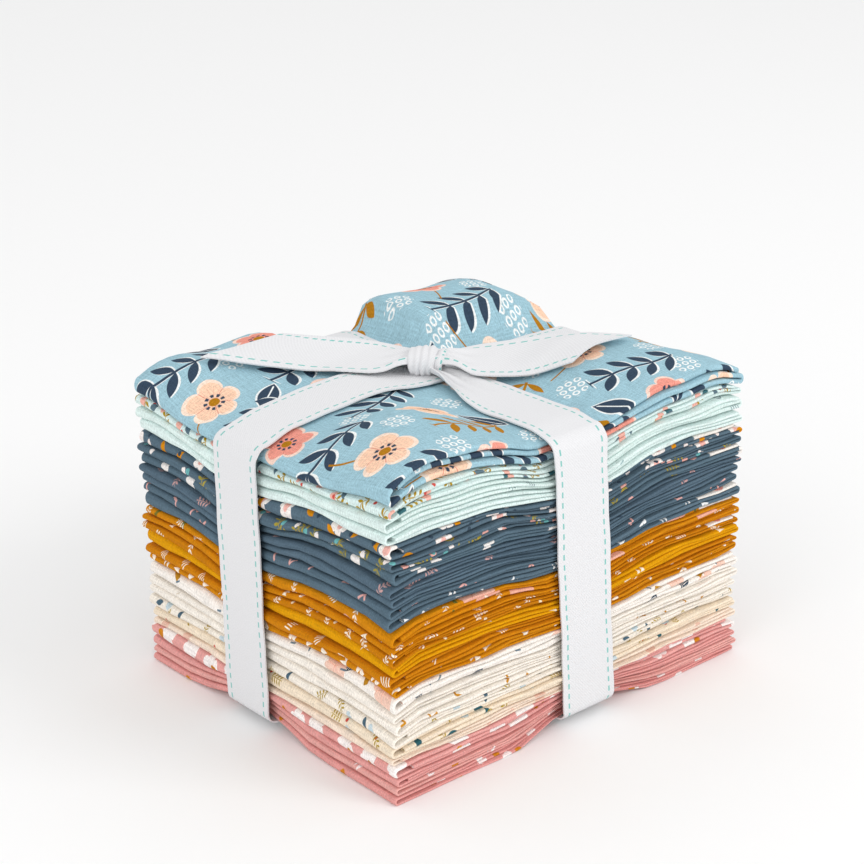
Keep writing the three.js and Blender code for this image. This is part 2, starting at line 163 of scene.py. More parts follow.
# One row for each puffed corner of the top, by its signs along X and Y: its rise, its share of that left
# at the rims, and how far from the ribbon's edges it reaches its full height
PUFFS = {
    (-1, -1): {"rise": 0.0135, "rim_x": 0.20, "rim_y": 0.75, "near_x": 0.034, "near_y": 0.033},
    (1, -1): {"rise": 0.0115, "rim_x": 0.34, "rim_y": 0.75, "near_x": 0.030, "near_y": 0.018},
    (-1, 1): {"rise": 0.0125, "rim_x": 0.36, "rim_y": 0.70, "near_x": 0.017, "near_y": 0.040},
    (1, 1): {"rise": 0.0152, "rim_x": 0.42, "rim_y": 0.68, "near_x": 0.009, "near_y": 0.013},
}

# One row for each quarter, from the top: print, height in the stack, and how far its round bend and
# its far end lie inside the pad's length
QUARTERS = [
    ("blue_floral", 0.0049, 0.0001, 0.0002),
    ("mint_sprig", 0.0029, 0.0003, 0.0003),
    ("mint_script", 0.0032, 0.0002, 0.0001),
    ("mint_plain", 0.0032, 0.0, 0.0003),
    ("slate_bloom", 0.0044, 0.0005, 0.0002),
    ("slate_sprig", 0.0035, 0.0001, 0.0006),
    ("slate_bud", 0.0038, 0.0006, 0.0),
    ("slate_fleck", 0.0032, 0.0002, 0.0004),
    ("slate_line", 0.0032, 0.0004, 0.0003),
    ("slate_pip", 0.0032, 0.0, 0.0007),
    ("slate_dot", 0.0043, 0.0005, 0.0001),
    ("mustard_bloom", 0.0039, 0.0002, 0.0005),
    ("mustard_leaf", 0.0029, 0.0006, 0.0002),
    ("mustard_fleck", 0.0030, 0.0001, 0.0006),
    ("mustard_gold", 0.0043, 0.0004, 0.0001),
    ("mustard_line", 0.0034, 0.0, 0.0004),
    ("mustard_dart", 0.0030, 0.0005, 0.0003),
    ("cream_bloom", 0.0052, 0.0002, 0.0),
    ("cream_plain", 0.0033, 0.0006, 0.0005),
    ("cream_angle", 0.0039, 0.0001, 0.0002),
    ("cream_line", 0.0039, 0.0005, 0.0006),
    ("beige_leaf", 0.0045, 0.0003, 0.0001),
    ("beige_blush", 0.0029, 0.0, 0.0004),
    ("pink_bloom", 0.0045, 0.0004, 0.0002),
    ("pink_plain", 0.0030, 0.0001, 0.0005),
    ("pink_dart", 0.0030, 0.0005, 0.0001),
    ("pink_fleck", 0.0030, 0.0002, 0.0003),
]
STACK = sum(height for _, height, _, _ in QUARTERS)
PUFF_ZONE = sum(height for _, height, _, _ in QUARTERS[:PUFF_QUARTERS])
FOOT_ZONE = sum(height for _, height, _, _ in QUARTERS[-FOOT_QUARTERS:])

# The camera: where it looks, from how far off and from which side, its turn about its own line of sight,
# and its lens
CAMERA_TARGET = Vector((0.0496, 0.0621, 0.0515))
CAMERA_DISTANCE = 0.74285
CAMERA_AZIMUTH = math.radians(40.243)
CAMERA_ELEVATION = math.radians(20.918)
CAMERA_ROLL = -0.01971
CAMERA_LENS = 83.33


def smoothstep(value, low, high):
    share = np.clip((value - low) / (high - low), 0, 1)
    return share * share * (3 - 2 * share)


# Camera, floor and light


def make_camera():
    az, el = CAMERA_AZIMUTH, CAMERA_ELEVATION
    forward = Vector((math.sin(az) * math.cos(el), math.cos(az) * math.cos(el), -math.sin(el)))
    camera = bpy.data.objects.new("camera", bpy.data.cameras.new("camera"))
    bpy.context.scene.collection.objects.link(camera)
    camera.data.lens = CAMERA_LENS
    camera.data.sensor_width = 36
    camera.data.clip_start = 0.05
    camera.data.clip_end = 20
    turn = forward.to_track_quat("-Z", "Y").to_matrix() @ Matrix.Rotation(CAMERA_ROLL, 3, "Z")
    camera.matrix_world = Matrix.Translation(CAMERA_TARGET - forward * CAMERA_DISTANCE) @ turn.to_4x4()
    bpy.context.scene.camera = camera


def softbox(name, place, aim, size, power):
    lamp = bpy.data.objects.new(name, bpy.data.lights.new(name, "AREA"))
    bpy.context.scene.collection.objects.link(lamp)
    lamp.data.size = size
    lamp.data.energy = power
    lamp.location = place
    lamp.rotation_euler = (Vector(aim) - Vector(place)).to_track_quat("-Z", "Y").to_euler()


def make_studio():
    bpy.ops.mesh.primitive_plane_add(size=8, location=(0, 0, 0))
    floor = bpy.context.object
    floor.name = "studio_floor"
    paper = Finish("studio_paper")
    paper.surface(color=(0.93, 0.93, 0.93), roughness=0.9)
    floor.data.materials.append(paper.material)
    world = bpy.data.worlds.new("studio_air")
    world.use_nodes = True
    world.node_tree.nodes["Background"].inputs["Color"].default_value = (1, 1, 1, 1)
    world.node_tree.nodes["Background"].inputs["Strength"].default_value = 0.90
    bpy.context.scene.world = world
    middle = (0, 0, 0.05)
    softbox("key_light", (0.7, -1.5, 1.1), middle, 0.8, 10)
    softbox("fill_light", (-1.5, -0.4, 0.9), middle, 1.0, 4.5)
    bpy.context.scene.view_settings.view_transform = "Standard"


# Finishes


class Value:
    """A socket of numbers. Python maths on it adds the Math nodes."""

    def __init__(self, finish, socket):
        self.finish = finish
        self.socket = socket

    def _math(self, operation, *others):
        made = self.finish.node("ShaderNodeMath", {"operation": operation}, *others)
        return Value(self.finish, made.outputs[0])

    def __add__(self, other):
        return self._math("ADD", self, other)

    __radd__ = __add__

    def __sub__(self, other):
        return self._math("SUBTRACT", self, other)

    def __rsub__(self, other):
        return self._math("SUBTRACT", other, self)

    def __mul__(self, other):
        return self._math("MULTIPLY", self, other)

    __rmul__ = __mul__

    def __truediv__(self, other):
        return self._math("DIVIDE", self, other)

    def __lt__(self, other):
        return self._math("LESS_THAN", self, other)

    def __gt__(self, other):
        return self._math("GREATER_THAN", self, other)

    def __pow__(self, other):
        return self._math("POWER", self, other)

    def __mod__(self, other):
        return self._math("FLOORED_MODULO", self, other)

    def __abs__(self):
        return self._math("ABSOLUTE", self)

    def floor(self):
        return self._math("FLOOR", self)

    def sin(self):
        return self._math("SINE", self)

    def cos(self):
        return self._math("COSINE", self)

    def sqrt(self):
        return self._math("SQRT", self)

    def least(self, other):
        return self._math("MINIMUM", self, other)

    def most(self, other):
        return self._math("MAXIMUM", self, other)

    def angle_from(self, other):
        """The angle of the point (other, self), as atan2(self, other)."""
        return self._math("ARCTAN2", self, other)

    def clamped(self):
        return self.most(0).least(1)


class Finish:
    """One material, and the nodes that make it."""

    def __init__(self, name):
        self.material = bpy.data.materials.new(name)
        self.material.use_nodes = True
        self.nodes = self.material.node_tree.nodes
        self.links = self.material.node_tree.links
        self.shader = self.nodes["Principled BSDF"]

    def node(self, kind, settings, *values, **named):
        """A node of this kind. Its settings come first, then what feeds its sockets, in order or by name."""
        made = self.nodes.new(kind)
        for key, value in settings.items():
            setattr(made, key, value)
        fed = list(zip(made.inputs, values))
        fed += [(made.inputs[key.replace("_", " ")], value) for key, value in named.items()]
        for socket, value in fed:
            if isinstance(value, Value):
                value = value.socket
            if isinstance(value, bpy.types.NodeSocket):
                self.links.new(value, socket)
            elif value is not None:
                socket.default_value = value
        return made

    def cut_place(self):
        """Where a point lies on the flat cut cloth, in metres."""
        made = self.node("ShaderNodeUVMap", {})
        parts = self.node("ShaderNodeSeparateXYZ", {}, made.outputs["UV"])
        return Value(self, parts.outputs["X"]), Value(self, parts.outputs["Y"])

    def vector(self, x, y, z=0.0):
        return self.node("ShaderNodeCombineXYZ", {}, x, y, z).outputs[0]

    def chance(self, x, y, seed):
        """Three even numbers from 0 to 1 for each whole-numbered place."""
        made = self.node("ShaderNodeTexWhiteNoise", {"noise_dimensions": "3D"}, self.vector(x, y, seed))
        parts = self.node("ShaderNodeSeparateColor", {}, made.outputs["Color"])
        return [Value(self, parts.outputs[i]) for i in range(3)]

    def over(self, below, above, mask):
        """A colour with another laid over it where the mask is 1."""
        made = self.node("ShaderNodeMix", {"data_type": "RGBA"})
        for socket, value in ((made.inputs[0], mask), (made.inputs[6], below), (made.inputs[7], above)):
            if isinstance(value, Value):
                value = value.socket
            if isinstance(value, bpy.types.NodeSocket):
                self.links.new(value, socket)
            else:
                socket.default_value = value
        return made.outputs[2]

    def dimmed(self, color, level):
        """A colour made lighter or darker by a level round 1, with its hue kept."""
        grey = self.node("ShaderNodeCombineColor", {}, level, level, level).outputs[0]
        made = self.node("ShaderNodeVectorMath", {"operation": "MULTIPLY"}, color, grey)
        return made.outputs[0]

    def surface(self, color, roughness, bump=None, bump_depth=None):
        if isinstance(color, bpy.types.NodeSocket):
            self.links.new(color, self.shader.inputs["Base Color"])
        else:
            self.shader.inputs["Base Color"].default_value = (*color, 1)
        if isinstance(roughness, Value):
            self.links.new(roughness.socket, self.shader.inputs["Roughness"])
        else:
            self.shader.inputs["Roughness"].default_value = roughness
        self.shader.inputs["Specular IOR Level"].default_value = 0.1
        if bump is not None:
            raised = self.node("ShaderNodeBump", {}, Strength=1.0, Distance=bump_depth, Height=bump)
            self.links.new(raised.outputs["Normal"], self.shader.inputs["Normal"])


def paint(code):
    """A colour for a shader, from its six-digit screen code."""
    parts = [int(code[i:i + 2], 16) / 255 for i in (0, 2, 4)]
    return tuple(p / 12.92 if p <= 0.04045 else ((p + 0.055) / 1.055) ** 2.4 for p in parts) + (1.0,)


# How the stack settles under its ribbon


def tie_x(z):
    """Where the middle of the cross run lies along X, at a height."""
    return TIE_X_FOOT + (TIE_X_TOP - TIE_X_FOOT) * z / STACK


def rim_fall(offset, reach, rim_share):
    """How much of a puff is left, falling from 1 inside to its share at the rim."""
    inside = np.clip((reach - np.abs(offset) - SHOULDER["flat"]) / SHOULDER["run"], 0, 1)
    return rim_share + (1 - rim_share) * (1 - (1 - inside) ** 2)


def off_ribbon(offset, near):
    """0 under the ribbon, rising to 1 beside it."""
    return smoothstep(np.abs(offset), HALF_RIBBON, HALF_RIBBON + near)


def arch_heights(x, off_y):
    """How far the cloth holds the ribbon up along its long run and along its cross run."""
    behind = 1 - smoothstep(x, ARCH["behind"], ARCH["behind_end"])
    left = ARCH["left"] * smoothstep(-x, ARCH["left_near"], ARCH["left_far"])
    left = left - ARCH["rim"] * smoothstep(-x, ARCH["rim_start"], HALF_X)
    across = ARCH["tie"] * (1 - smoothstep(off_y, ARCH["behind"], ARCH["behind_end"]))
    return ARCH["tie"] * behind + left, across


def top_face(x, y):
    """Height of the bundle's top: pulled down along the ribbon, raised at the corners, puffed between."""
    off_x, off_y = x - TIE_X_TOP, y - TIE_Y
    reach_y = np.where(off_y < 0, HALF_Y + TIE_Y, HALF_Y - TIE_Y)
    out_y = np.abs(off_y) / reach_y
    puff = np.zeros_like(off_x + off_y)
    long_arch, cross_arch = arch_heights(x, off_y)
    for (side_x, side_y), row in PUFFS.items():
        inside = (side_x * off_x >= 0) & (side_y * off_y >= 0)
        away_x, away_y = off_ribbon(off_x, row["near_x"]), off_ribbon(off_y, row["near_y"])
        rims = rim_fall(off_x, HALF_X, row["rim_x"]) * rim_fall(off_y, reach_y, row["rim_y"])
        near_long, near_cross = 1 - away_y, 1 - away_x
        arch = long_arch * near_long + cross_arch * near_cross - ARCH["tie"] * near_long * near_cross
        puff = np.where(inside, row["rise"] * rims * away_x * away_y + arch, puff)
    left = LEFT_PULL["drop"] * smoothstep(-x, LEFT_PULL["start"], HALF_X)
    left = left * (1 - smoothstep(out_y, LEFT_PULL["out_from"], 1))
    corner = CORNER_LIFT["rise"] * smoothstep(np.abs(x), CORNER_LIFT["start"], CORNER_LIFT["full"])
    corner = corner * smoothstep(out_y, CORNER_LIFT["out_from"], CORNER_LIFT["out_full"])
    back = BACK_LIFT["rise"] * smoothstep(y, BACK_LIFT["start"], HALF_Y)
    back = back * (1 - smoothstep(np.abs(x), BACK_LIFT["fade_from"], BACK_LIFT["fade_to"]))
    dip = RIM_DIP["drop"] * smoothstep(np.abs(y), RIM_DIP["start"], HALF_Y)
    dip = dip * (1 - smoothstep(np.abs(off_x), HALF_RIBBON, RIM_DIP["fade_to"]))
    return STACK - left - dip + corner + back + puff


def ribbon_share(offset):
    """1 under the ribbon, falling to 0 beside it."""
    return np.clip(1 - (np.abs(offset) - HALF_RIBBON) / FOOT_RAMP, 0, 1)


def foot_face(x, y):
    """How far the ribbon lifts the foot of the stack."""
    return FOOT_LIFT * np.maximum(ribbon_share(x - TIE_X_FOOT), ribbon_share(y - TIE_Y))


def wander(x, y, z):
    """How far a point of the flat stack is lifted by the slow waves, the pinch and the sunk corner."""
    lift = np.zeros_like(z)
    for long_x, long_y, long_z, height, start in WAVES:
        phase = x / long_x + y / long_y + z / long_z
        across = x / long_y - y / long_x - z / long_z / 2
        lift += height * np.sin(math.tau * phase + start) * np.cos(math.tau * across / 2 + start)
    calm_top = CALM["top_share"] * smoothstep(z, STACK - CALM["within"], STACK)
    lift *= smoothstep(z, 0.0, CALM["within"]) * (1 - calm_top)
    along_ribbon = np.minimum(np.abs(x - tie_x(z)), np.abs(y - TIE_Y))
    full = smoothstep(along_ribbon, PINCH["near"], PINCH["far"]) - PINCH["under"]
    lift += PINCH["by"] * full * smoothstep(z, *PINCH["rise"]) * (1 - smoothstep(z, PINCH["fade"], STACK))
    sink = CORNER_SINK
    corner = smoothstep(-x, sink["start_x"], HALF_X) * smoothstep(-y, sink["start_y"], HALF_Y)
    lift -= sink["by"] * corner * smoothstep(z, *sink["rise"]) * (1 - smoothstep(z, *sink["fade"]))
    return lift


def settle(x, y, z):
    """Takes points of a flat stack to their places in the tied one."""
    loose = np.clip((z - STACK + PUFF_ZONE) / PUFF_ZONE, 0, 1)
    low = np.clip(1 - z / FOOT_ZONE, 0, 1)
    tight = np.maximum(loose, low)
    draw_x = DRAW_BENDS["by"] * tight * ribbon_share(y - TIE_Y)
    draw_x = draw_x * smoothstep(np.abs(x), DRAW_BENDS["start"], HALF_X)
    draw_y = DRAW_RIMS["by"] * tight * ribbon_share(x - tie_x(z))
    draw_y = draw_y * smoothstep(np.abs(y), DRAW_RIMS["start"], HALF_Y)
    raised = loose * (top_face(x, y) - STACK) + low * foot_face(x, y) + wander(x, y, z)
    return x - np.sign(x) * draw_x, y - np.sign(y) * draw_y, z + raised


# The folded cloths


def walk(pieces):
    """Points along straight runs and arcs, as the distance walked, the place, and the way outwards.

    A run is ("run", a, b, level, step) along the first axis. A bend is ("bend", a, level, radius,
    from, to, steps), with angles in degrees."""
    points, outs = [], []
    for kind, *shape in pieces:
        if kind == "run":
            start, end, level, step = shape
            count = max(2, round(abs(end - start) / step))
            side = (0, 1) if end < start else (0, -1)
            places = [(start + (end - start) * i / count, level) for i in range(count + 1)]
            turned = [side] * len(places)
        else:
            centre, level, radius, begin, finish, count = shape
            angles = [math.radians(begin + (finish - begin) * i / count) for i in range(count + 1)]
            turned = [(math.cos(a), math.sin(a)) for a in angles]
            places = [(centre + radius * cx, level + radius * cz) for cx, cz in turned]
        skip = 1 if points else 0
        points += places[skip:]
        outs += turned[skip:]
    points, outs = np.array(points), np.array(outs)
    walked = np.concatenate([[0], np.cumsum(np.linalg.norm(np.diff(points, axis=0), axis=1))])
    return walked, points, outs


def leaf_route(base, leaf, bend, far, tuck, step):
    """The middle of a leaf, folded in three: over the top, round the full bend at -X into the lowest
    run, and tightly round at +X into the tucked one."""
    left = -HALF_X + bend + 1.5 * leaf
    right = HALF_X - far - leaf
    return walk([
        ("run", HALF_X - RAW_SHORT - far, left, base + 2.5 * leaf, step),
        ("bend", left, base + 1.5 * leaf, leaf, 90, 270, 10),
        ("run", left, right, base + 0.5 * leaf, step),
        ("bend", right, base + leaf, 0.5 * leaf, -90, 90, 6),
        ("run", right, -HALF_X + bend + tuck, base + 1.5 * leaf, step),
    ])


def strip_route(pitch, step):
    """The cloth across one leaf, folded in half and in half again: its two nested bends lie at -Y."""
    near, far = -HALF_Y + 2 * pitch, HALF_Y - 2 * pitch
    return walk([
        ("run", far + 0.4 * pitch, near, -1.5 * pitch, step),
        ("bend", near, 0.0, 1.5 * pitch, 270, 90, 8),
        ("run", near, far, 1.5 * pitch, step),
        ("bend", far, pitch, 0.5 * pitch, 90, -90, 4),
        ("run", far, near, 0.5 * pitch, step),
        ("bend", near, 0.0, 0.5 * pitch, 90, 270, 4),
        ("run", near, far - 1.5 * pitch, -0.5 * pitch, step),
    ])


def flat_grid(name, along, across):
    """A cut of cloth with a vertex at each station, its UVs in metres, selected as the active object."""
    bpy.ops.object.select_all(action="DESELECT")
    bpy.ops.mesh.primitive_grid_add(x_subdivisions=len(along) - 1, y_subdivisions=len(across) - 1, size=1)
    piece = bpy.context.object
    piece.name = name
    mesh = piece.data
    mesh.name = name
    flat = np.empty(len(mesh.vertices) * 3)
    mesh.vertices.foreach_get("co", flat)
    flat = flat.reshape(-1, 3)
    i = np.rint((flat[:, 0] + 0.5) * (len(along) - 1)).astype(int)
    j = np.rint((flat[:, 1] + 0.5) * (len(across) - 1)).astype(int)
    corners = np.empty(len(mesh.loops), dtype=int)
    mesh.loops.foreach_get("vertex_index", corners)
    uv = np.column_stack([np.asarray(along)[i[corners]], np.asarray(across)[j[corners]]])
    mesh.uv_layers[0].data.foreach_set("uv", uv.ravel())
    return piece, i, j


def place_points(piece, x, y, z):
    piece.data.vertices.foreach_set("co", np.column_stack([x, y, z]).ravel())
    piece.data.update()


def finish_sheet(piece, thick, finish):
    """Gives a sheet its thickness and its finish, and smooths what is not an edge."""
    bpy.ops.object.select_all(action="DESELECT")
    piece.select_set(True)
    bpy.context.view_layer.objects.active = piece
    solid = piece.modifiers.new("thickness", "SOLIDIFY")
    solid.thickness = thick
    solid.offset = 0
    bpy.ops.object.modifier_apply(modifier=solid.name)
    bpy.ops.object.shade_smooth_by_angle(angle=SMOOTH_ANGLE)
    piece.data.materials.append(finish)


def varied(row, seed):
    """A measure that differs a little from quarter to quarter."""
    return row["least"] + row["vary"] * (0.5 + 0.5 * math.sin(seed * row["turn"]))


def ridge_jitter(place, seed):
    """How far a pressed edge strays from its line, along the cloth."""
    return sum(
        size * np.sin(math.tau * place / length + seed * (3.1 + k))
        for k, (length, size) in enumerate(RIDGE_WAVES)
    )


def fold_quarter(index, base, height, bend, far):
    """One fat quarter, folded and settled into the stack, and how thick its cloth is."""
    leaf = (height - QUARTER_AIR) / 3
    pitch = LEAF_FILL * leaf / 4
    seed = index * SEED_STEP
    bend = bend + varied(DRAWN_IN, seed)
    tuck = varied(TUCK, seed)
    step_along, step_across = GRID_STEPS["top" if index < PUFF_QUARTERS else "rest"]
    along, middle, out = leaf_route(base, leaf, bend, far, tuck, step_along)
    across, rung, _ = strip_route(pitch, step_across)
    print_name = QUARTERS[index][0]
    piece, i, j = flat_grid(f"folded_{index + 1:02d}_{print_name}", along, across)
    depth = rung[j, 1]
    x = middle[i, 0] + out[i, 0] * depth
    z = middle[i, 1] + out[i, 1] * depth
    y = rung[j, 0]
    near = np.clip((-y - HALF_Y + STRAY["rims"]) / STRAY["rims"], 0, 1)
    back = np.clip((y - HALF_Y + STRAY["rims"]) / STRAY["rims"], 0, 1)
    left = np.clip((-x - HALF_X + STRAY["left"]) / STRAY["left"], 0, 1)
    walked, length = along[i], along[-1]
    stray = STRAY["least"] + STRAY["vary"] * np.sin(math.tau * STRAY["waves"] * walked / length + seed)
    y = y + near * (stray + ridge_jitter(walked, seed)) - back * (stray + ridge_jitter(walked, seed + 2))
    x = x + left * (STRAY["left_least"] + STRAY["left_share"] * ridge_jitter(y, seed + 5))
    raw = np.clip(1 - walked / RAW_EDGE["reach"], 0, 1)
    raw = raw - np.clip(1 - (length - walked) / RAW_EDGE["reach"], 0, 1)
    x = x - raw * (RAW_EDGE["back"] + RAW_EDGE["vary"] * np.sin(across[j] / RAW_EDGE["wave"] + seed))
    place_points(piece, *settle(x, y, z))
    return piece, pitch * CLOTH_SHARE


def make_quarters():
    base = STACK
    for index, (print_name, height, bend, far) in enumerate(QUARTERS):
        base -= height
        node = f"quarter_{index + 1:02d}_{print_name}"
        piece, thick = fold_quarter(index, max(base, 0.0), height, bend, far)
        finish = large_floral() if index == 0 else cotton(print_name)
        finish_sheet(piece, thick, finish)
        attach(piece, "root")
        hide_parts(node)


# The ribbon


def ribbon_strip(name, places, finish, loop=False):
    """A strip of ribbon through a grid of places, [along, across, xyz], its UVs in metres."""
    middle = places[:, places.shape[1] // 2]
    along = np.concatenate([[0], np.cumsum(np.linalg.norm(np.diff(middle, axis=0), axis=1))])
    across = np.linspace(0, RIBBON_WIDTH, places.shape[1])
    piece, i, j = flat_grid(name, along, across)
    place_points(piece, *places[i, j].T)
    if loop:
        bpy.ops.object.mode_set(mode="EDIT")
        bpy.ops.mesh.select_all(action="SELECT")
        bpy.ops.mesh.remove_doubles(threshold=1e-6)
        bpy.ops.object.mode_set(mode="OBJECT")
    finish_sheet(piece, RIBBON_THICK, finish)
    return piece, along[-1]


def declare_ribbon(piece, node, length, rests_on, **size):
    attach(piece, "root")
    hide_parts(node)


def band_route(half, top, foot):
    """The route round the stack in its own upright plane, from the middle of the top, as [along, height]."""
    side = half + RIBBON_CLEAR
    top_edge, foot_edge = side - TOP_CORNER, side - FOOT_CORNER

    def corner(sign, radius, level, begin, finish):
        angles = np.radians(np.linspace(begin, finish, BAND_POINTS["corner"]))
        return [(sign * (side - radius + radius * np.cos(a)), level + radius * np.sin(a)) for a in angles]

    def run(start, end, height):
        count = max(2, round(abs(end - start) / BAND_POINTS["step"]))
        return [(a, float(height(a))) for a in np.linspace(start, end, count + 1)]

    top_left, top_right = float(top(-top_edge)) - TOP_CORNER, float(top(top_edge)) - TOP_CORNER
    foot_left, foot_right = float(foot(-foot_edge)) + FOOT_CORNER, float(foot(foot_edge)) + FOOT_CORNER

    def drop(sign, start, end):
        return [(sign * side, z) for z in np.linspace(start, end, BAND_POINTS["side"])]

    pieces = [
        run(0, -top_edge, top), corner(-1, TOP_CORNER, top_left, 90, 0), drop(-1, top_left, foot_left),
        corner(-1, FOOT_CORNER, foot_left, 0, -90), run(-foot_edge, foot_edge, foot),
        corner(1, FOOT_CORNER, foot_right, -90, 0), drop(1, foot_right, top_right),
        corner(1, TOP_CORNER, top_right, 0, 90), run(top_edge, 0, top),
    ]
    return np.array([point for k, piece in enumerate(pieces) for point in piece[(1 if k else 0):]])


def crossing_share(offset, ramp):
    """1 where two bands lie one on the other, falling to 0 beside that."""
    return np.clip(1 - (np.abs(offset) - HALF_RIBBON - CROSSING_FLAT) / ramp, 0, 1)


def cloth_top(x, y):
    """Height of the top cloth's upper side."""
    x, y = np.asarray(x, float), np.asarray(y, float)
    return top_face(x, y) + wander(x, y, np.full(np.broadcast(x, y).shape, STACK))


ACROSS = np.linspace(-1, 1, 25)


def gathered(offset, far):
    """How far a band is gathered in toward the knot, at a distance along it from the tie."""
    return 1 - smoothstep(np.abs(offset), GATHER["from"], far)


def edge_wave(route, seed):
    """How far a band's edges stray outwards, along its route."""
    along = (np.arange(len(route)) * BAND_POINTS["step"])[:, None]
    return sum(high * np.sin(along / long + share * seed) for long, high, share in EDGE_WAVES)


def make_bands(finish):
    long_route = band_route(
        HALF_X,
        lambda x: cloth_top(x, TIE_Y) + RIBBON_CLEAR,
        lambda x: FOOT_LIFT - RIBBON_CLEAR,
    )
    half = HALF_RIBBON + edge_wave(long_route, 1.0)
    y = TIE_Y + ACROSS[None, :] * half
    places = np.stack(np.broadcast_arrays(long_route[:, :1], y, long_route[:, 1:]), axis=2)
    places[-1] = places[0]
    piece, length = ribbon_strip("ribbon_band_long", places, finish, loop=True)
    declare_ribbon(piece, "ribbon_long", length, ["quarter_01_blue_floral"], held="stretched")

    def over(y):
        return BAND_STEP * crossing_share(y - TIE_Y, CROSSING_RAMP)

    cross_route = band_route(
        HALF_Y,
        lambda y: cloth_top(TIE_X_TOP, y) + RIBBON_CLEAR + over(y),
        lambda y: FOOT_LIFT - RIBBON_CLEAR - over(y),
    )
    on_top = cross_route[:, 1:] > STACK / 2
    along = cross_route[:, :1] - TIE_Y
    drawn_left = GATHER["left"] * gathered(along, GATHER["left_far"]) * on_top
    drawn_right = GATHER["right"] * gathered(along, GATHER["right_far"]) * on_top
    half = HALF_RIBBON * (1 - np.where(ACROSS[None, :] > 0, drawn_left, drawn_right))
    half = half + edge_wave(cross_route, 2.4)
    folds = np.cos(ACROSS[None, :] * math.pi * GATHER["pleats"] + GATHER["start"])
    pleat = drawn_left * (GATHER["lift"] + GATHER["pleat"] * folds)
    pleat = pleat + GATHER["curl"] * drawn_left * np.maximum(ACROSS[None, :], 0) ** 3
    x = tie_x(cross_route[:, 1:]) - ACROSS[None, :] * half
    places = np.stack(np.broadcast_arrays(x, cross_route[:, :1], cross_route[:, 1:] + pleat), axis=2)
    places[-1] = places[0]
    piece, length = ribbon_strip("ribbon_band_cross", places, finish, loop=True)
    declare_ribbon(piece, "ribbon_cross", length, ["ribbon_band_long"], held="stretched")


def taut(reach, height):
    """Pulls a line of heights up to the straight runs that a taut ribbon takes over hollows."""
    hull = []
    for point in zip(reach, height):
        while len(hull) > 1:
            (a, za), (b, zb) = hull[-2:]
            if (zb - za) * (point[0] - a) > (point[1] - za) * (b - a):
                break
            hull.pop()
        hull.append(point)
    return np.interp(reach, [p[0] for p in hull], [p[1] for p in hull])


def make_free_end(name, node, row, finish):
    """A free end: gathered under the wrap, opening to its full width over the cloth, cut on the slant."""
    heading = math.radians(row["heading"])
    ahead = np.array([math.cos(heading), math.sin(heading)])
    aside = np.array([-ahead[1], ahead[0]])
    points_along, points_across = FREE_END["points"]
    share = np.linspace(0, 1, points_along)[:, None]
    lateral = np.linspace(-1, 1, points_across)[None, :]
    toward_camera = 0.5 + 0.5 * lateral * row["near_side"]
    length = row["right_edge"] + (row["left_edge"] - row["right_edge"]) * (lateral + 1) / 2
    reach = KNOT["inside"] + (length - KNOT["inside"]) * share
    opened = smoothstep(reach, KNOT["inside"], FREE_END["full_at"])
    width = FREE_END["neck"] + (RIBBON_WIDTH - FREE_END["neck"]) * opened
    drift = row["bow"] * np.sin(math.pi * np.clip(reach / FREE_END["bow_over"], 0, 1))
    off = lateral * width / 2 + drift
    x = KNOT["x"] + ahead[0] * reach + aside[0] * off
    y = KNOT["y"] + ahead[1] * reach + aside[1] * off
    bands = crossing_share(x - TIE_X_TOP, FREE_END["ramp"]) + crossing_share(y - TIE_Y, FREE_END["ramp"])
    under = cloth_top(x, y) + RIBBON_CLEAR + BAND_STEP * bands
    rise = 1 - smoothstep(reach, *FREE_END["leaves_knot"])
    from_knot = (KNOT["z"] + FREE_END["above_knot"]) * rise + under * (1 - rise)
    under = np.maximum(under + FREE_END["clear"], from_knot)
    lines = np.array([taut(reach[:, k], under[:, k]) for k in range(lateral.size)]).T
    limp = FREE_END["limp"] * toward_camera * smoothstep(reach, *FREE_END["limp_over"])
    lines = lines * (1 - limp) + under * limp
    folds = (1 - opened) * FREE_END["pleat"] * np.sin(lateral * math.pi * row["pleats"] + row["phase"])
    swing = reach / FREE_END["ripple_long"] + lateral * FREE_END["ripple_slant"] + row["phase"]
    ripple = FREE_END["ripple"] * opened * np.sin(swing)
    z = lines + FREE_END["pleat"] * (1 - opened) + folds + ripple + FREE_END["clear"]
    z = z + row["curl"] * smoothstep(share, FREE_END["curl_from"], 1.0) * toward_camera
    places = np.stack([x, y, z], axis=2)
    piece, _ = ribbon_strip(name, places, finish)
    area = float(np.mean(length - KNOT["inside"])) * RIBBON_WIDTH
    longest = row["left_edge"] - KNOT["inside"]
    declare_ribbon(piece, node, longest, ["quarter_01_blue_floral"], held="laid", area=area)


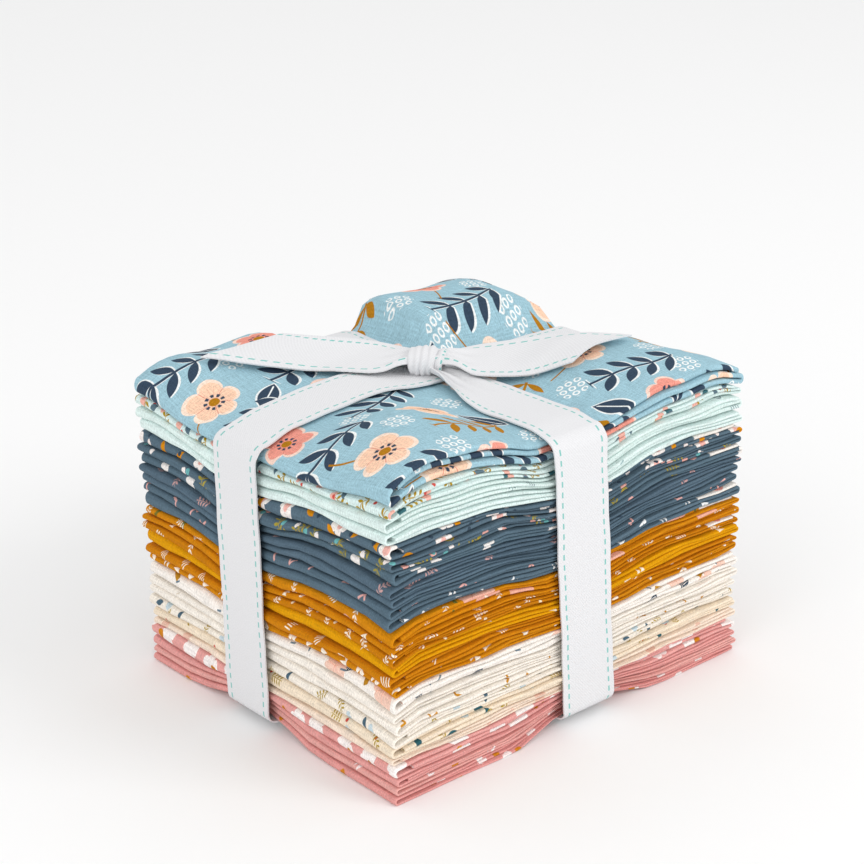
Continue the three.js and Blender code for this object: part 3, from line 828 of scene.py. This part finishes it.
def make_wrap(finish):
    """The turn of ribbon round the knot's middle: pleated lengthwise, its edges tucked under."""
    heading = math.radians(KNOT["heading"])
    axis = np.array([math.cos(heading), math.sin(heading), 0])
    side = np.array([-axis[1], axis[0], 0])
    up = np.array([0.0, 0.0, 1.0])
    points_round, points_across = WRAP["points"]
    turn = np.linspace(0, math.tau, points_round)[:, None] - math.pi / 2
    lateral = np.linspace(-1, 1, points_across)[None, :]
    at, run, rise = np.array(WRAP_PROFILE).T
    run = np.interp(lateral, at, run)
    rise = np.interp(lateral, at, rise)
    sway = WRAP["sway_round"] * np.sin(turn * 2) + WRAP["sway_across"] * np.sin(lateral * 4)
    pleat = WRAP["pleat"] * np.cos(lateral * math.pi * WRAP["pleats"] + sway)
    pleat = pleat * (WRAP["least"] + WRAP["vary"] * np.sin(lateral * 5.3 + turn * 0.5))
    pleat = pleat * smoothstep(lateral, *WRAP["start"]) * (1 - smoothstep(lateral, *WRAP["end"]))
    wide = KNOT["deep"] + rise + pleat
    tall = KNOT["tall"] + rise + WRAP["on_top"] * pleat
    spread = 1 + WRAP["spread"] * np.sin(turn)
    across = side[None, None, :] * (wide * np.cos(turn))[..., None]
    height = up[None, None, :] * (tall * np.sin(turn))[..., None]
    lean = axis[None, None, :] * (run * spread + WRAP["lean"] * np.cos(turn))[..., None]
    centre = np.array([KNOT["x"], KNOT["y"], KNOT["z"]])
    places = centre + across + height + lean
    places[-1] = places[0]
    piece, length = ribbon_strip("ribbon_knot_wrap", places, finish, loop=True)
    declare_ribbon(piece, "ribbon_knot", length, ["ribbon_band_cross"], held="gathered")


def make_ribbon():
    finish = twill()
    make_bands(finish)
    make_free_end("ribbon_free_left", "ribbon_end_left", FREE_ENDS["left"], finish)
    make_free_end("ribbon_free_right", "ribbon_end_right", FREE_ENDS["right"], finish)
    make_wrap(finish)


# The finishes of the cloth


# The weave: how far apart its threads lie, how much they shade a print, and how deep they are
THREAD = 0.00052
WEAVE_SHADE = 0.50
WEAVE_DEPTH = 0.00016
# The ribbon's twill: how far apart its wales lie and how deep they are, and how far in its line of stitches
# runs, half its width and its repeat
TWILL = {"wale": 0.00095, "depth": 0.00007, "stitch_in": 0.0023, "stitch_half": 0.00032,
         "stitch_repeat": 0.0035}


class Cloth(Finish):
    """A woven cloth, with its printed motifs placed on the flat cut."""

    def __init__(self, name):
        super().__init__(name)
        self.u, self.v = self.cut_place()
        self.spots = {}

    def noise(self, along, across):
        """Noise on the flat cloth, from how many grains there are in a metre along it and across it."""
        place = self.vector(self.u * along, self.v * across)
        made = self.node("ShaderNodeTexNoise", {}, Vector=place, Scale=1.0, Detail=1.0)
        return Value(self, made.outputs["Fac"])

    def inside(self, distance, edge, soft=0.00015):
        """1 where a distance is less than the edge, with a soft rim."""
        return ((edge - distance) / soft + 0.5).clamped()

    def spot(self, width, height, seed, drop=0.5, shift=(0, 0), jitter=0.3, turn=(0, 1)):
        """The place in the nearest spot of a half-drop repeat: x, y from its middle, and its own chance."""
        key = (width, height, seed)
        if key not in self.spots:
            across = (self.u - shift[0]) / width
            column = across.floor()
            down = (self.v - shift[1]) / height + (column % 2) * drop
            row = down.floor()
            chance = self.chance(column, row, seed)
            x = (across - column - 0.5 + (chance[0] - 0.5) * jitter) * width
            y = (down - row - 0.5 + (chance[1] - 0.5) * jitter) * height
            angle = (chance[2] * turn[1] + turn[0]) * math.tau
            sine, cosine = angle.sin(), angle.cos()
            pick = (chance[0] * 7.3 + chance[1] * 3.7) % 1
            self.spots[key] = (x * cosine + y * sine, y * cosine - x * sine, pick)
        return self.spots[key]

    # Motifs: masks of 1 inside the shape, about its own middle, with sizes in metres

    def dot(self, x, y, size):
        return self.inside((x * x + y * y).sqrt(), size / 2)

    def ring(self, x, y, size):
        return self.inside(abs((x * x + y * y).sqrt() - size / 2), size * 0.16)

    def leaf(self, x, y, size, wide=0.42):
        share = x / (size / 2)
        return self.inside(abs(y), (1 - share * share) * (size * wide / 2))

    def vein(self, x, y, size):
        return self.leaf(x, y, size * 0.84) * self.inside(abs(y - x * 0.03), size * 0.016)

    def side_veins(self, x, y, size):
        stripe = abs((x - abs(y) * 1.1) / (size * 0.11) % 1 - 0.5)
        return self.leaf(x, y, size * 0.9) * self.inside(stripe, 0.14, 0.08)

    def tick(self, x, y, size, wide=0.24):
        return self.inside(abs(x), size / 2) * self.inside(abs(y), size * wide / 2)

    def angle(self, x, y, size):
        return self.tick(x, y, size).most(self.tick(y - size * 0.28, x - size * 0.42, size * 0.7, 0.32))

    def dart(self, x, y, size):
        wing = self.inside(abs(abs(y) - size * 0.30), (0.5 - x / size) * size * 0.34)
        return wing * self.inside(abs(x), size / 2)

    def strokes(self, x, y, size):
        lines = self.inside(abs(y / (size * 0.24) % 1 - 0.5), 0.2, 0.1)
        return self.inside(abs(x + y * 0.4), size * 0.4) * self.inside(abs(y), size * 0.45) * lines

    def sprig(self, x, y, size, thin=0.34):
        step = size * 0.24
        place = ((x + size / 2) / step % 1 - 0.5) * step
        out = abs(y) - size * 0.13
        leaflet = self.leaf(place * 0.6 + out * 0.8, out * 0.6 - place * 0.8, size * 0.30, thin)
        stem = self.inside(abs(y), size * 0.018)
        return leaflet.most(stem) * self.inside(abs(x), size / 2)

    def petals(self, x, y, size, count=5, deep=0.36):
        turn = y.angle_from(x)
        lobe = abs((turn * (count / 2)).cos()) ** 0.6
        edge = (lobe * deep + (1 - deep)) * (turn.sin() * 0.10 + 0.90) * (size / 2)
        return self.inside((x * x + y * y).sqrt(), edge)

    def petal_lines(self, x, y, size, count=5):
        turn = y.angle_from(x)
        far = (x * x + y * y).sqrt()
        parting = self.inside(abs((turn * (count / 2)).cos()) * far, size * 0.016)
        fine = self.inside(abs((turn * (count * 2)).cos()) * far, size * 0.030)
        fine = fine * self.inside(far, size * 0.33) * 0.5
        return parting.most(fine) * self.petals(x, y, size)

    def blob(self, x, y, size):
        return self.petals(x, y, size, count=3, deep=0.3)

    def thread_shade(self):
        """The weave: how light each spot of the cloth is, and how high."""
        fine = self.noise(1900, 1900)
        slub = self.noise(160, 2400) + self.noise(2400, 160)
        thread = math.tau / THREAD
        grid = (self.u * thread).sin() * (self.v * thread).sin()
        return (fine - 0.5) * 0.55 + (slub - 1) * 0.45 + 0.5, grid * 0.25 + fine * 0.75

    def woven(self, color):
        """Shades a print by its weave, and finishes the cloth."""
        shade, height = self.thread_shade()
        level = (shade - 0.5) * WEAVE_SHADE * 2 + 1
        self.surface(color=self.dimmed(color, level), roughness=shade * 0.12 + 0.80, bump=height,
                     bump_depth=WEAVE_DEPTH)
        return self.material


MM = 0.001
# The printed cloths: the ground's colour, then a row for each motif from the lowest: the motif, the
# repeat's width and height, its seed, the motif's size, all in millimetres, its colour, and the share
# of the spots that carry it. Rows with one repeat and seed lie on the same spots.
PRINTS = {
    "mint_sprig": ("d9ebe8", [
        ("sprig", 12, 10, 1, 7.5, "b08d1e", 0.75), ("blob", 10, 13, 2, 3.6, "3c6c74", 0.5),
        ("blob", 8, 9, 3, 3.2, "efb3a4", 0.6), ("dot", 9, 8, 4, 1.2, "cf5148", 0.5),
        ("leaf", 11, 9, 5, 4.0, "5d7480", 0.5)]),
    "mint_script": ("dcede9", [
        ("sprig", 21, 16, 6, 6.0, "6d838d", 0.6), ("strokes", 17, 19, 7, 3.2, "8ea3a8", 0.5)]),
    "mint_plain": ("ddedea", [("tick", 23, 29, 8, 1.6, "9bb6b8", 0.4)]),
    "slate_bloom": ("586d7b", [
        ("petals", 11, 12, 1, 7.4, "f3ebe6", 0.7), ("blob", 11, 12, 1, 3.2, "edb4aa", 0.7),
        ("leaf", 9, 11, 9, 5.0, "d4890f", 0.5), ("blob", 7, 8, 10, 2.2, "f0e4df", 0.5),
        ("dot", 8, 9, 52, 1.5, "3a4a59", 0.5)]),
    "slate_sprig": ("566b79", [
        ("sprig", 12, 10, 11, 7.5, "a9983c", 0.65), ("blob", 10, 11, 12, 3.0, "e9ada2", 0.6),
        ("blob", 9, 10, 53, 2.4, "f1e9e5", 0.5), ("dot", 11, 13, 13, 1.8, "6fb3b4", 0.5)]),
    "slate_bud": ("596f7d", [
        ("petals", 14, 12, 14, 5.0, "f1ece8", 0.6), ("sprig", 13, 14, 15, 6.0, "9c8f3f", 0.45),
        ("blob", 15, 19, 16, 3.0, "e5aca4", 0.5)]),
    "slate_fleck": ("556978", [("sprig", 14, 13, 17, 5.2, "cfa3a0", 0.6)]),
    "slate_line": ("5a6f7e", [("tick", 21, 24, 18, 2.2, "3d4f60", 0.6)]),
    "slate_pip": ("586d7b", [("angle", 11, 9, 19, 2.8, "e6aea7", 0.75)]),
    "slate_dot": ("5b707e", [
        ("dart", 10, 9, 20, 2.6, "f1f2f1", 0.75), ("dot", 19, 21, 21, 1.3, "e8efef", 0.5)]),
    "mustard_bloom": ("d0850b", [
        ("petals", 21, 19, 22, 15.0, "eeb49f", 0.7), ("petal_lines", 21, 19, 22, 15.0, "d98f7c", 0.7),
        ("leaf", 17, 21, 23, 8.0, "3b4a5a", 0.6), ("vein", 17, 21, 23, 8.0, "ece4d8", 0.6),
        ("tick", 13, 15, 24, 5.0, "77712a", 0.5), ("sprig", 11, 10, 25, 4.4, "f6ecda", 0.55)]),
    "mustard_leaf": ("ce8208", [
        ("sprig", 10, 9, 26, 5.4, "f8efdc", 0.6), ("dart", 11, 13, 54, 2.0, "f8efdc", 0.5)]),
    "mustard_fleck": ("c67b06", [
        ("sprig", 11, 9, 27, 4.6, "f8eedb", 0.7), ("dot", 11, 10, 28, 1.2, "f3e4c4", 0.5)]),
    "mustard_gold": ("de9d04", [("dart", 17, 14, 29, 3.0, "fbf3e0", 0.6)]),
    "mustard_line": ("cb7f0a", [("strokes", 13, 12, 30, 3.4, "f8efdc", 0.6)]),
    "mustard_dart": ("ce850c", [("dart", 9, 8, 31, 3.0, "fbf3e4", 0.75)]),
    "cream_bloom": ("f7f1ea", [
        ("leaf", 19, 17, 32, 10.0, "3a4a5a", 0.55), ("side_veins", 19, 17, 32, 10.0, "f2ede6", 0.55),
        ("petals", 23, 21, 33, 11.0, "f3cdbb", 0.6), ("petal_lines", 23, 21, 33, 11.0, "e8a48e", 0.6),
        ("tick", 14, 17, 34, 7.0, "bf8a25", 0.4), ("tick", 9, 8, 55, 2.2, "6f8391", 0.5)]),
    "cream_plain": ("f4ede3", [("tick", 27, 31, 35, 1.6, "d9cdbb", 0.5)]),
    "cream_angle": ("f5eee4", [("angle", 10, 8, 36, 3.0, "c98a1d", 0.75)]),
    "cream_line": ("f3ebdf", [
        ("sprig", 11, 12, 37, 4.6, "b09326", 0.55), ("blob", 13, 11, 38, 3.2, "c6d6dc", 0.5),
        ("leaf", 12, 10, 39, 3.6, "4c6676", 0.45)]),
    "beige_leaf": ("f2e2cb", [
        ("leaf", 15, 13, 40, 5.4, "2f5f68", 0.55), ("dot", 13, 14, 41, 1.1, "cc4a3e", 0.5),
        ("sprig", 11, 10, 42, 5.0, "b1942c", 0.55), ("blob", 13, 14, 43, 4.0, "c9d8de", 0.5)]),
    "beige_blush": ("f3e0ce", [("blob", 12, 13, 44, 5.0, "ecc3b0", 0.6)]),
    "pink_bloom": ("e5a5a0", [
        ("petals", 13, 12, 45, 9.0, "f9f2ef", 0.8), ("blob", 12, 10, 46, 3.2, "cf8420", 0.4)]),
    "pink_plain": ("e4a29d", [("tick", 21, 23, 47, 1.6, "c9827f", 0.5)]),
    "pink_dart": ("e6aaa3", [
        ("blob", 15, 14, 48, 3.6, "cf8420", 0.4), ("dart", 14, 12, 49, 2.6, "f6ecea", 0.4)]),
    "pink_fleck": ("e39f9a", [
        ("blob", 10, 11, 50, 4.4, "f9f1ee", 0.7), ("blob", 13, 12, 51, 3.0, "cf8420", 0.45)]),
}

# The prints that have an unprinted margin along their outer edge, and how wide it is. Along it runs a row of
# round marks, each with its place in the repeat and its colour
MARGINS = {
    "slate_bloom": 0.021, "slate_bud": 0.014, "slate_dot": 0.019,
    "mustard_bloom": 0.017, "mustard_fleck": 0.013,
}
MARKS = {"from_edge": 0.007, "repeat": 0.013, "size": 0.0038, "rows": ((0.25, "e79c8f"), (0.6, "d9952b"))}
# The motifs of the large floral: the length of its leaves with and without their rim, of its sprays, and
# the size of its blossoms, and a spot of small rings with their pitch
FLORAL = {"leaf_rim": 0.0172, "leaf": 0.0160, "spray": 0.0315, "small_spray": 0.0285, "blossom": 0.0215,
          "ring": 0.0019, "ring_pitch": 0.0031, "ring_spot": 0.0052}


def cotton(print_name):
    """The finish of one small-scale print."""
    ground, rows = PRINTS[print_name]
    cloth = Cloth(f"cotton_{print_name}")
    color = paint(ground)
    for motif, width, height, seed, size, ink, share in rows:
        x, y, pick = cloth.spot(width * MM, height * MM, seed)
        shape = getattr(cloth, motif)(x, y, size * MM)
        color = cloth.over(color, paint(ink), shape * (pick < share))
    if print_name in MARGINS:
        color = cloth.over(color, paint("efe9e2"), cloth.inside(cloth.u, MARGINS[print_name], 0.0006))
        for place, ink in MARKS["rows"]:
            along = abs(cloth.v / MARKS["repeat"] % 1 - place) * MARKS["repeat"]
            mark = cloth.dot(cloth.u - MARKS["from_edge"], along, MARKS["size"])
            color = cloth.over(color, paint(ink), mark)
    return cloth.woven(color)


def large_floral():
    """The top print: open five-petalled blossoms, with sprays, leaves and rings between them."""
    cloth = Cloth("cotton_blue_floral")
    wide, tall = 35 * MM, 42 * MM
    navy, white, ochre = paint("36475a"), paint("f0f3f2"), paint("b47a16")
    color = paint("9fc4d1")

    x, y, pick = cloth.spot(wide, tall / 2, 61, drop=0, jitter=0.16)
    far = (x * x + y * y).sqrt()
    pitch = FLORAL["ring_pitch"]
    mesh_x = ((x / pitch + 0.5) % 1 - 0.5) * pitch
    mesh_y = ((y / pitch + 0.5) % 1 - 0.5) * pitch
    rings = cloth.ring(mesh_x, mesh_y, FLORAL["ring"]) * cloth.inside(far, FLORAL["ring_spot"])
    color = cloth.over(color, white, rings * (pick < 0.52))
    single = pick > 0.52
    color = cloth.over(color, white, cloth.leaf(x, y, FLORAL["leaf_rim"], 0.47) * single)
    color = cloth.over(color, navy, cloth.leaf(x, y, FLORAL["leaf"], 0.42) * single)
    color = cloth.over(color, white, cloth.vein(x, y, FLORAL["leaf"]) * single)

    x, y, pick = cloth.spot(wide, tall, 62, shift=(wide / 2, 0), jitter=0.10, turn=(-0.07, 0.14))
    bowed = y - x * x * 9 + 0.0012
    rim = cloth.sprig(x + 0.0004, bowed + 0.0003, FLORAL["spray"], 0.46)
    color = cloth.over(color, white, rim * (pick < 0.8))
    color = cloth.over(color, navy, cloth.sprig(x, bowed, FLORAL["spray"], 0.38) * (pick < 0.8))
    color = cloth.over(color, ochre, cloth.sprig(x, bowed, FLORAL["small_spray"], 0.32) * (pick > 0.8))

    x, y, pick = cloth.spot(wide, tall, 63, shift=(wide / 2, tall / 2), jitter=0.12)
    stem = cloth.inside(abs(y - x * x * 14), 0.00032) * cloth.inside(abs(x - 0.0105), 0.0085)
    color = cloth.over(color, ochre, stem)
    size = FLORAL["blossom"]
    blossom = cloth.petals(x, y, size, deep=0.34)
    petal = cloth.over(paint("ee9c8c"), paint("f8cfb2"), pick > 0.5)
    color = cloth.over(color, petal, blossom)
    rim = (blossom - cloth.petals(x, y, size * 0.86, deep=0.34)).clamped()
    color = cloth.over(color, paint("fbe6d6"), rim * 0.75)
    color = cloth.over(color, paint("d9796b"), cloth.petal_lines(x, y, size) * 0.8)
    far = (x * x + y * y).sqrt()
    turn = y.angle_from(x)
    stamens = cloth.inside(abs(far - size * 0.135), size * 0.03)
    stamens = stamens * cloth.inside(abs((turn * 4.5).cos()), 0.75, 0.3)
    color = cloth.over(color, navy, stamens)
    color = cloth.over(color, ochre, cloth.dot(x, y, size * 0.17))
    return cloth.woven(color)


def twill():
    """The ribbon: a fine diagonal twill, with a dashed line of stitches inside each edge."""
    cloth = Cloth("ribbon_twill")
    edge = abs(abs(cloth.v - HALF_RIBBON) - (HALF_RIBBON - TWILL["stitch_in"]))
    dash = cloth.inside(abs((cloth.u / TWILL["stitch_repeat"]) % 1 - 0.5), 0.27, 0.05)
    stitch = cloth.inside(edge, TWILL["stitch_half"]) * dash
    color = cloth.over(paint("e4e4e6"), paint("86c6bf"), stitch)
    wale = ((cloth.u * 0.8 + cloth.v) * (math.tau / TWILL["wale"])).sin()
    fine = cloth.noise(2200, 2200)
    color = cloth.dimmed(color, 1 - (wale * 0.5 + 0.5) * 0.05 - (fine - 0.5) * 0.16)
    height = wale * 0.35 + fine * 0.65
    cloth.surface(color=color, roughness=fine * 0.15 + 0.62, bump=height, bump_depth=TWILL["depth"])
    return cloth.material


make_camera()
make_studio()
make_quarters()
make_ribbon()
